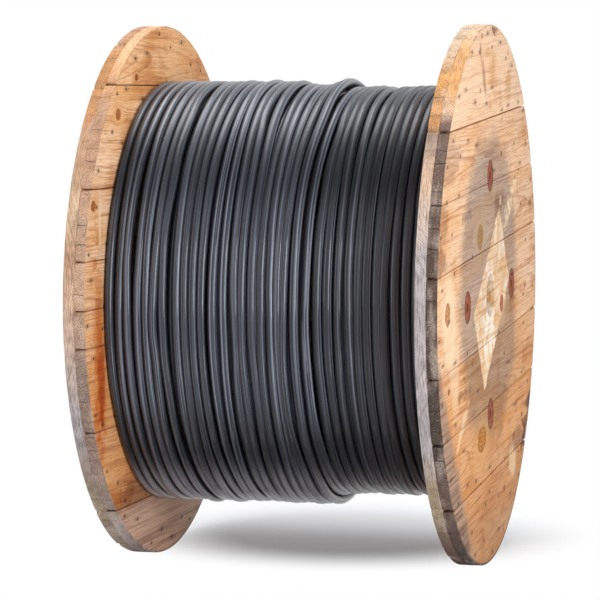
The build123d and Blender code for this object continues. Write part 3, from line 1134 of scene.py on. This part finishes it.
# %% [markdown]
# Geometry Nodes are the right tool for what repeats by a rule. This helper runs a tree on an empty
# object, sets the tree's inputs, and keeps the result as a plain mesh that rides on the drum.

# %% Running a Geometry Nodes tree
def given_inputs(tree, wanted):
    """Names the inputs of a Geometry Nodes tree and hands them to its nodes."""
    sockets(tree, "OUTPUT", (("Geometry", "Geometry"),))
    sockets(tree, "INPUT", wanted)
    return add(tree, "NodeGroupInput").outputs


def finished(tree, geometry, material):
    """Ends a tree: real mesh instead of instances, and its material."""
    real = add(tree, "GeometryNodeRealizeInstances", {"Geometry": geometry})
    done = add(tree, "GeometryNodeSetMaterial", {"Geometry": real.outputs[0], "Material": material})
    plug(tree, add(tree, "NodeGroupOutput").inputs[0], done.outputs[0])
    return tree


def grown(name, tree, values):
    """Runs a Geometry Nodes tree and keeps its result as a plain mesh that rides on the drum."""
    seed = in_scene(name + "_seed", bpy.data.meshes.new(name + "_seed"))
    modifier = seed.modifiers.new("made", "NODES")
    modifier.node_group = tree
    known = {s.name: s.identifier for s in tree.interface.items_tree if s.in_out == "INPUT"}
    for key, value in values.items():
        modifier[known[key]] = value
    mesh = bpy.data.meshes.new_from_object(seed.evaluated_get(bpy.context.evaluated_depsgraph_get()))
    seed.modifiers.remove(modifier)
    bpy.data.objects.remove(seed)
    mesh.name = name
    piece = in_scene(name, mesh)
    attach(piece, "root")
    print(name, "has", len(mesh.polygons), "faces")
    return piece


print("helpers for Geometry Nodes: given_inputs, finished, grown")

# %% [markdown]
# The wound cable follows a rule: one long line of points is bent into a helix by its point numbers,
# and a circle is swept along it. It starts behind, comes up from the layer below beside one flange,
# and dives beside the other, so that no end shows. Noise along the line lets each turn wander and ride
# up a little, as turns wound by machine do once the drum has been rolled about.

# %% Path of the cable
CABLE_DIAMETER = 0.0174
HALF_CABLE = CABLE_DIAMETER / 2
OUTER_TURNS = 34
LAYER_RISE = 0.016
PITCH = (2 * INNER_FACE - CABLE_DIAMETER - 0.0012) / (OUTER_TURNS - 1)
LAST_TURN = round((LAST_LAYER_END + INNER_FACE) / PITCH)
SWAY = 0.3
CROWDED_TURNS = (9.0, 25.0)
CROWD_WAVE = 13.0
HUMP_SHIFT = 0.008


def line_noise(tree, turn, speed, seed, scale):
    """Noise along the cable."""
    made = add(tree, "ShaderNodeTexNoise", {"W": times_plus(tree, turn, speed, seed), "Scale": scale,
               "Detail": 1.0}, noise_dimensions="1D")
    return made.outputs[0]


def place_of(tree, turns, turn):
    """Which turn the cable is at, from flange to flange, with more of each step made on one side."""
    sway = times(tree, calc(tree, "SINE", times(tree, turn, 2 * math.pi)), SWAY / (2 * math.pi))
    place = plus(tree, minus(tree, turn, 0.5), sway)
    return calc(tree, "MINIMUM", calc(tree, "MAXIMUM", place, 0.0), minus(tree, turns, 1.0))


def along_drum(tree, given, place, sine, drift, hump):
    """The place along the drum: turn by turn, with wander, crowding and the last turn pushed aside."""
    x = times_plus(tree, place, given["Pitch"], given["First"])
    x = times_plus(tree, drift, given["Wander"], x)
    crowded = both(tree, between(tree, place, *CROWDED_TURNS, 1.5),
                   smooth(tree, calc(tree, "ABSOLUTE", sine), 0.55, 0.95, 1.0, 0.0))
    middle = sum(CROWDED_TURNS) / 2
    wave = calc(tree, "SINE", times(tree, minus(tree, place, middle), -2 * math.pi / CROWD_WAVE))
    x = times_plus(tree, both(tree, wave, crowded), given["Crowd"], x)
    return times_plus(tree, hump, HUMP_SHIFT, x)


def from_axis(tree, given, turns, turn, low, ride, lumps):
    """The distance from the axis: high or low layer, riding up here and there, down at both ends."""
    step = minus(tree, given["Low Radius"], given["High Radius"])
    radius = times_plus(tree, low, step, given["High Radius"])
    radius = times_plus(tree, ride, given["Ride"], radius)
    radius = times_plus(tree, lumps, given["Lift"], radius)
    ends = plus(tree, smooth(tree, turn, 0.02, 0.34, 1.0, 0.0),
                smooth(tree, minus(tree, turns, turn), 0.02, 0.34, 1.0, 0.0))
    return times_plus(tree, both(tree, ends, given["Climb"]), -1.0, radius)


print(f"{OUTER_TURNS} turns at a pitch of {PITCH * 1000:.1f} mm, the last layer ends at turn {LAST_TURN}")

# %% [markdown]
# The tree below puts the path together. It counts the points of a straight line, turns each count into
# an angle, asks the helpers above for the place along the drum and the distance from the axis, and
# moves the point there. The swept circle remembers which way is outwards, for the sheath's material.

# %% Wound cable
WINDING_INPUTS = (
    ("Turns", "Int"), ("Points per Turn", "Int"), ("Sides", "Int"), ("First", "Float"), ("Pitch", "Float"),
    ("High Radius", "Float"), ("Low Radius", "Float"), ("Step Turn", "Float"), ("Diameter", "Float"),
    ("Wander", "Float"), ("Crowd", "Float"), ("Ride", "Float"), ("Lift", "Float"), ("Climb", "Float"),
    ("Seed", "Float"), ("Material", "Material"),
)


def winding_tree():
    """Geometry Nodes for one layer of wound cable."""
    tree = bpy.data.node_groups.new("wound_cable", "GeometryNodeTree")
    given = given_inputs(tree, WINDING_INPUTS)
    turns = given["Turns"]
    count = times_plus(tree, turns, given["Points per Turn"], 1.0)
    line = add(tree, "GeometryNodeMeshLine", {"Count": count})
    curve = add(tree, "GeometryNodeMeshToCurve", {"Mesh": line.outputs[0]})
    turn = calc(tree, "DIVIDE", add(tree, "GeometryNodeInputIndex").outputs[0], given["Points per Turn"])
    angle = times_plus(tree, turn, 2 * math.pi, math.pi)
    cosine, sine = calc(tree, "COSINE", angle), calc(tree, "SINE", angle)
    place = place_of(tree, turns, turn)
    bunch = joined(tree, times(tree, place, 0.16), times(tree, cosine, 0.7), times(tree, sine, 0.7))
    bunch = add(tree, "ShaderNodeTexNoise", {"Vector": bunch, "Scale": 2.0, "Detail": 1.0}).outputs[0]
    loose = smooth(tree, bunch, 0.40, 0.60, 0.30, 1.0)
    inside = both(tree, smooth(tree, place, 0.0, 2.0), smooth(tree, minus(tree, turns, place), 1.0, 3.0))
    wander = line_noise(tree, turn, 1.37, given["Seed"], 1.1)
    drift = both(tree, both(tree, minus(tree, wander, 0.5), loose), inside)
    high_side = smooth(tree, sine, 0.35, 1.0)
    hump = both(tree, between(tree, place, LAST_TURN - 1.2, LAST_TURN - 0.6, 0.25), high_side)
    dip = both(tree, between(tree, place, LAST_TURN - 5.5, LAST_TURN - 1.9, 0.9), high_side)
    edge_rise = both(tree, smooth(tree, place, OUTER_TURNS - 2.6, OUTER_TURNS - 1.4), high_side)
    lumps = times_plus(tree, hump, 0.9, times_plus(tree, edge_rise, 1.0, times(tree, dip, -1.0)))
    ride = line_noise(tree, turn, 1.61, plus(tree, given["Seed"], 50.0), 2.3)
    ride = both(tree, smooth(tree, ride, 0.40, 0.85, -0.25, 1.0), loose)
    low = smooth(tree, turn, given["Step Turn"], plus(tree, given["Step Turn"], 0.34))
    x = along_drum(tree, given, place, sine, drift, hump)
    radius = from_axis(tree, given, turns, turn, low, ride, lumps)
    y = times(tree, times(tree, cosine, radius), -1.0)
    z = times_plus(tree, low, given["Lift"], times_plus(tree, sine, radius, AXIS_Z))
    bent = add(tree, "GeometryNodeSetPosition", {"Geometry": curve.outputs[0],
               "Position": joined(tree, x, y, z)})
    noted = add(tree, "GeometryNodeStoreNamedAttribute", {"Geometry": bent.outputs[0], "Name": "along",
                "Value": times(tree, turn, 2 * math.pi * HIGH_RADIUS)}, data_type="FLOAT", domain="POINT")
    ring = add(tree, "GeometryNodeCurvePrimitiveCircle", {"Resolution": given["Sides"],
               "Radius": times(tree, given["Diameter"], 0.5)})
    outward = vec(tree, "NORMALIZE", add(tree, "GeometryNodeInputPosition").outputs[0])
    profile = add(tree, "GeometryNodeStoreNamedAttribute", {"Geometry": ring.outputs[0], "Name": "round",
                  "Value": outward}, data_type="FLOAT_VECTOR", domain="POINT")
    swept = add(tree, "GeometryNodeCurveToMesh", {"Curve": noted.outputs[0],
                "Profile Curve": profile.outputs[0], "Fill Caps": True})
    soft = add(tree, "GeometryNodeSetShadeSmooth", {"Geometry": swept.outputs[0]})
    return finished(tree, soft.outputs[0], given["Material"])


WINDING = winding_tree()
print("winding tree has", len(WINDING.nodes), "nodes")

# %% [markdown]
# The sheath is black plastic, dark in itself. What makes it look grey is gloss: soft lamps mirrored in
# each turn. Handling has dulled and dusted it, so the gloss breaks up along the cable, and a little
# dust, lightened further as a painted sheen, lies on what faces up. Its colour also holds painted
# highlights, painted shade and a painted reflection of the floor.

# %% Cable sheath
# Some of these colours are painted light: highlights in the pale lines, a floor reflection, a sheen.
SHEATH_PALETTE = {
    "dark": linear(30, 30, 36), "light": linear(50, 52, 62), "scuff": linear(112, 118, 134),
    "line": linear(142, 152, 172), "hairline_and_highlight": linear(158, 166, 184), "floor_reflection": linear(182, 179, 186),
    "dust_and_sheen": linear(116, 118, 128),
}


def streaks(tree, lay, across, along, detail, rough):
    """Noise drawn out along the cable; across and along are how often it changes each way."""
    round_x, round_y, way = lay
    place = joined(tree, times(tree, round_x, across), times(tree, round_y, across),
                   times(tree, way, along))
    return noise(tree, place, 1.0, detail, rough)


def handled(tree, lay, up, cloud, scuff, hairlines_and_highlights):
    """The sheath's colour: black, scuffed, scratched, and painted with highlights, low shade and a floor
    reflection.
    """
    paint = SHEATH_PALETTE
    color = tint(tree, smooth(tree, cloud, 0.3, 0.7), paint["dark"], paint["light"])
    color = tint(tree, smooth(tree, scuff, 0.50, 0.74, 0.0, 0.45), color, paint["scuff"])
    # The pale lines along the cable are scratches and painted highlights; the dark lines are scratches.
    lines = streaks(tree, lay, 2.3, 0.22, 3.0, 0.6)
    color = tint(tree, smooth(tree, lines, 0.53, 0.66, 0.0, 0.85), color, paint["line"])
    color = wash(tree, smooth(tree, lines, 0.36, 0.47, 0.8, 0.0), color, (0.30, 0.30, 0.33))
    color = tint(tree, smooth(tree, hairlines_and_highlights, 0.58, 0.66, 0.0, 0.7), color, paint["hairline_and_highlight"])
    color = wash(tree, smooth(tree, hairlines_and_highlights, 0.34, 0.44, 0.8, 0.0), color, (0.25, 0.25, 0.28))
    # The pale underside of the winding is a painted reflection of the floor.
    under = both(tree, smooth(tree, up, -0.35, -0.27, 0.70, 0.0), smooth(tree, scuff, 0.3, 0.6, 0.5, 1.0))
    color = tint(tree, under, color, paint["floor_reflection"])
    # A darker band low on the winding is painted shade.
    painted_shade_band = between(tree, plus(tree, up, uneven(tree, cloud, 0.06)), -0.33, -0.20, 0.045)
    return wash(tree, times(tree, painted_shade_band, 0.9), color, (0.22, 0.22, 0.24))


print(len(SHEATH_PALETTE), "colours for the sheath")

# %% [markdown]
# Gloss decides how black plastic looks, so it gets as much care as the colour. A thin clear coat gives
# the long highlights. It is dulled on a band below the top, whose colour is also darkened there as
# painted shade, and in the valleys between the turns, which are darkened by dirt and painted shade.

# %% Sheath with its gloss
SHEATH_GLOSS = 0.32
COAT_ROUGHNESS = 0.13
COOL_GLOSS = (0.78, 0.87, 1.0, 1.0)


def sheath_material():
    """Black plastic, handled and dusty, with painted sheen, highlights and shade in its colour."""
    made, tree, shader = new_material("black_sheath")
    source = add(tree, "ShaderNodeTexCoord").outputs
    up = minus(tree, parts_of(tree, source["Object"])[2], AXIS_Z)
    round_x, round_y, _ = parts_of(tree, attribute(tree, "round"))
    lay = round_x, round_y, attribute(tree, "along", "Fac")
    scuff = streaks(tree, lay, 3.2, 3.0, 4.0, 0.65)
    ribs = streaks(tree, lay, 4.5, 0.10, 2.0, 0.6)
    fine = streaks(tree, lay, 9.0, 26.0, 3.0, 0.65)
    cloud = streaks(tree, lay, 0.7, 1.3, 3.0, 0.6)
    hairlines_and_highlights = streaks(tree, lay, 11.0, 0.5, 2.0, 0.6)
    color = handled(tree, lay, up, cloud, scuff, hairlines_and_highlights)
    # The valleys between the turns are darkened by dirt and painted shade.
    valley = smooth(tree, calc(tree, "ABSOLUTE", round_x), 0.50, 0.88)
    color = wash(tree, valley, color, (0.22, 0.19, 0.19))
    # The band below the top is darkened as painted shade.
    shoulder = between(tree, plus(tree, up, uneven(tree, cloud, 0.10)), 0.18, 0.30, 0.05)
    rubbed_or_painted_shade = both(tree, shoulder, smooth(tree, hairlines_and_highlights, 0.35, 0.6, 1.0, 0.6))
    color = wash(tree, rubbed_or_painted_shade, color, (0.14, 0.14, 0.16))
    # What faces up is lightened by dust and a painted sheen.
    upward = smooth(tree, parts_of(tree, source["Normal"])[2], 0.30, 1.0)
    upward = both(tree, upward, minus(tree, 1.0, shoulder))
    dust_and_sheen = both(tree, upward, smooth(tree, fine, 0.25, 0.75, 0.0, 0.20))
    plug(tree, shader.inputs["Base Color"], tint(tree, dust_and_sheen, color, SHEATH_PALETTE["dust_and_sheen"]))
    rough = smooth(tree, times_plus(tree, cloud, 0.5, scuff), 0.5, 0.95, 0.20, 0.34)
    rough = times_plus(tree, shoulder, 0.25, rough)
    plug(tree, shader.inputs["Roughness"], times_plus(tree, valley, 0.35, rough))
    top = smooth(tree, up, 0.31, 0.38, 1.0, 0.35)
    plug(tree, shader.inputs["Coat Weight"], both(tree, top, smooth(tree, shoulder, 0.0, 1.0, 0.55, 0.04)))
    shader.inputs["Specular IOR Level"].default_value = SHEATH_GLOSS
    shader.inputs["Coat Roughness"].default_value = COAT_ROUGHNESS
    shader.inputs["Specular Tint"].default_value = COOL_GLOSS
    roughen(tree, shader, times_plus(tree, scuff, 0.35, ribs), 0.8, 0.0009)
    return made


SHEATH = sheath_material()
print("sheath material has", len(SHEATH.node_tree.nodes), "nodes")

# %% [markdown]
# The same tree makes both layers that can be seen: the outer turns, loose and wandering, and the turns
# under them, which lie half a cable over, in the valleys. The layer below gets fewer points, because
# it shows only in the gaps.

# %% Both layers of turns
END_GAP = 0.0006
STEP_TURN = LAST_TURN - 0.20

top_turns = grown("cable_outer_turns", WINDING, {
    "Turns": OUTER_TURNS, "Points per Turn": 120, "Sides": 12,
    "First": -INNER_FACE + HALF_CABLE + END_GAP, "Pitch": PITCH, "Diameter": CABLE_DIAMETER,
    "High Radius": HIGH_RADIUS - HALF_CABLE, "Low Radius": LOW_RADIUS - HALF_CABLE,
    "Step Turn": STEP_TURN, "Wander": 0.026, "Crowd": 0.0046, "Ride": 0.0050, "Lift": 0.006,
    "Climb": LAYER_RISE, "Seed": 4.0, "Material": SHEATH})
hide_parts("cable_full_layers", "cable_last_layer")
grown("cable_under_turns", WINDING, {
    "Turns": OUTER_TURNS - 1, "Points per Turn": 72, "Sides": 8,
    "First": -INNER_FACE + CABLE_DIAMETER + END_GAP, "Pitch": PITCH, "Diameter": CABLE_DIAMETER,
    "High Radius": HIGH_RADIUS - HALF_CABLE - LAYER_RISE,
    "Low Radius": LOW_RADIUS - HALF_CABLE - LAYER_RISE,
    "Step Turn": STEP_TURN, "Wander": 0.012, "Crowd": 0.0, "Ride": 0.001, "Lift": 0.0,
    "Climb": 0.0, "Seed": 9.0, "Material": SHEATH})

# %% [markdown]
# Nail heads repeat too: the same rule that placed their stains now places them. One tree makes all
# the rings of all the faces, and the sizes of a head are its inputs.

# %% Nail heads
FLANGE_FACES = (("right_outer", OUTER_FACE, 1), ("right_inner", INNER_FACE, -1),
                ("left_inner", -INNER_FACE, 1), ("left_outer", -OUTER_FACE, -1))
HEAD_TAPER = 0.80


def nail_tree():
    """Geometry Nodes for the nail heads on every face of both flanges."""
    tree = bpy.data.node_groups.new("nail_heads", "GeometryNodeTree")
    given = given_inputs(tree, (("Head Radius", "Float"), ("Head Height", "Float"), ("Proud", "Float"),
                                ("Sides", "Int"), ("Material", "Material")))
    head = add(tree, "GeometryNodeMeshCone", {
        "Vertices": given["Sides"], "Side Segments": 1, "Fill Segments": 1, "Depth": given["Head Height"],
        "Radius Top": times(tree, given["Head Radius"], HEAD_TAPER), "Radius Bottom": given["Head Radius"]})
    flat = add(tree, "GeometryNodeTransform", {"Geometry": head.outputs[0],
               "Rotation": (0.0, math.pi / 2, 0.0)})
    soft = add(tree, "GeometryNodeSetShadeSmooth", {"Geometry": flat.outputs[0], "Shade Smooth": False})
    sunk = minus(tree, given["Proud"], given["Head Height"])
    number = add(tree, "GeometryNodeInputIndex").outputs[0]
    gathered = add(tree, "GeometryNodeJoinGeometry")
    for layer, face_x, side in FLANGE_FACES:
        x = times_plus(tree, sunk, float(side), face_x)
        for ring in NAIL_RINGS:
            line = add(tree, "GeometryNodeMeshLine", {"Count": ring[0]})
            y, z, chance = nail_place(tree, number, ring, NAIL_FACES[layer])
            put = add(tree, "GeometryNodeSetPosition", {"Geometry": line.outputs[0],
                      "Position": joined(tree, x, y, plus(tree, z, AXIS_Z))})
            spin = joined(tree, times(tree, chance, 6.0), 0.0, 0.0 if side == 1 else math.pi)
            size = times_plus(tree, chance, 0.3, 0.85)
            heads = add(tree, "GeometryNodeInstanceOnPoints", {"Points": put.outputs[0],
                        "Instance": soft.outputs[0], "Rotation": spin,
                        "Scale": joined(tree, 1.0, size, size)})
            tree.links.new(heads.outputs[0], gathered.inputs[0])
    return finished(tree, gathered.outputs[0], given["Material"])


NAILING = nail_tree()
print("nail tree has", len(NAILING.nodes), "nodes")

# %% [markdown]
# What is steel has rusted: red-brown where it is dry, nearly black where dirt lies. Two noises of
# different size mix the colours, and the finer one also roughens the surface.

# %% Rusty steel
RUST_ROUGHNESS = 0.72
RUST_METAL = 0.2


def rust_material(name, light, dark, speck, edge=False):
    """Steel rusted all over; with edge, its rim and the ring round its hole are darkened as painted shade.
    """
    made, tree, shader = new_material(name)
    place = add(tree, "ShaderNodeTexCoord").outputs["Object"]
    cloud = noise(tree, place, 70.0, 4.0, 0.65)
    fine = noise(tree, place, 520.0, 3.0, 0.6)
    color = tint(tree, smooth(tree, cloud, 0.3, 0.7), dark, light)
    color = tint(tree, smooth(tree, fine, 0.48, 0.72, 0.0, 0.7), color, speck)
    if edge:
        out = attribute(tree, "out", "Fac")
        # A plate's dark rim and the dark ring round its hole are painted shade.
        color = wash(tree, smooth(tree, out, 0.84, 1.0), color, (0.35, 0.30, 0.30))
        color = wash(tree, smooth(tree, out, 0.20, 0.34, 1.0, 0.0), color, (0.30, 0.25, 0.25))
    plug(tree, shader.inputs["Base Color"], color)
    shader.inputs["Roughness"].default_value = RUST_ROUGHNESS
    shader.inputs["Metallic"].default_value = RUST_METAL
    roughen(tree, shader, fine, 0.5, 0.0007)
    return made


NAIL_RUST = rust_material("rusty_nails", linear(70, 50, 44), linear(40, 30, 28), linear(24, 20, 20))
PLATE_RUST = rust_material("rusty_plates", linear(170, 82, 32), linear(116, 50, 20), linear(76, 32, 18),
                           edge=True)
ROD_RUST = rust_material("rusty_rods", linear(120, 76, 58), linear(84, 50, 40), linear(52, 36, 32))

grown("nail_heads", NAILING, {
    "Head Radius": 0.0029, "Head Height": 0.0012, "Proud": -0.0001, "Sides": 10,
    "Material": NAIL_RUST})

# %% [markdown]
# The plate nuts are pressed discs let into the wood round each tie rod. A disc is a turned shape, so
# it is made as a profile, out from the rod, spun into a ring of faces: a rolled edge, a shallow dish
# and a raised lip round the rod.

# %% Plate nuts
# The profile from the rod's hole to the edge: share of the radius, and height over the flange's face
PLATE_PROFILE = ((0.250, -0.0060), (0.250, -0.0022), (0.275, -0.0010), (0.330, -0.0008), (0.420, -0.0016),
                 (0.620, -0.0020), (0.860, -0.0014), (0.945, -0.0002), (0.985, -0.0004), (1.000, -0.0016),
                 (1.000, -0.0060))
PLATE_SIDES = 48


def nut_places(node):
    """The middle and radius of each plate nut in a node, across the flange."""
    found = {}
    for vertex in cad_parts[node].data.vertices:
        y, z = vertex.co.y, vertex.co.z - AXIS_Z
        found.setdefault(round(math.degrees(math.atan2(z, y)) / 90) % 4, []).append((y, z))
    for points in found.values():
        low_y, high_y = min(p[0] for p in points), max(p[0] for p in points)
        low_z, high_z = min(p[1] for p in points), max(p[1] for p in points)
        yield (low_y + high_y) / 2, (low_z + high_z) / 2, (high_y - low_y) / 2


def plate_nuts(name, node, side):
    """The plate nuts of one flange as spun profiles."""
    shape = bmesh.new()
    out = shape.verts.layers.float.new("out")
    for y, z, radius in nut_places(node):
        rings = []
        for share, height in PLATE_PROFILE:
            ring = []
            for step in range(PLATE_SIDES):
                angle = 2 * math.pi * step / PLATE_SIDES
                point = shape.verts.new((side * (OUTER_FACE + height), y + share * radius * math.cos(angle),
                                         AXIS_Z + z + share * radius * math.sin(angle)))
                point[out] = share
                ring.append(point)
            rings.append(ring)
        for first, second in zip(rings, rings[1:] + rings[:1]):
            for step in range(PLATE_SIDES):
                after = (step + 1) % PLATE_SIDES
                shape.faces.new((first[step], first[after], second[after], second[step]))
    bmesh.ops.recalc_face_normals(shape, faces=shape.faces)
    mesh = bpy.data.meshes.new(name)
    shape.to_mesh(mesh)
    shape.free()
    mesh.shade_smooth()
    mesh.set_sharp_from_angle(angle=math.radians(50))
    mesh.materials.append(PLATE_RUST)
    piece = in_scene(name, mesh)
    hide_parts(node)
    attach(piece, "root")
    return piece


for name, node, side in (("right_plates", "right_plate_nuts", 1), ("left_plates", "left_plate_nuts", -1)):
    print(name, "has", len(plate_nuts(name, node, side).data.polygons), "faces")

# %% [markdown]
# The barrel's staves and the tie rods hide inside, but show through the arbor hole, so their solids
# stay as they are and only get a finish. The staves run along the drum, so their grain coordinates
# are simply the object's own, with the tree's middle set off to one side.

# %% Staves and rods
TREE_MIDDLE = (5.0, 0.4, -0.4)


def stave_material():
    """Softwood that runs along the drum's axis."""
    made, tree, shader = new_material("wood_staves")
    place = add(tree, "ShaderNodeTexCoord").outputs["Object"]
    wood = add(tree, "ShaderNodeGroup", {"Grain": vec(tree, "ADD", place, TREE_MIDDLE),
               "Along": (1.0, 0.0, 0.0), "Warmth": 0.5, "Knots": 1.0}, node_tree=SOFTWOOD).outputs
    plug(tree, shader.inputs["Base Color"], wood["Color"])
    plug(tree, shader.inputs["Roughness"], smooth(tree, wood["Fibre"], 0.2, 0.8, 0.60, 0.84))
    roughen(tree, shader, wood["Height"], 0.4, 0.001)
    return made


for node, finish in (("tie_rods", ROD_RUST), ("barrel_staves", stave_material())):
    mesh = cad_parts[node].data
    mesh.materials.clear()
    mesh.materials.append(finish)
print("finishes on the staves and rods")
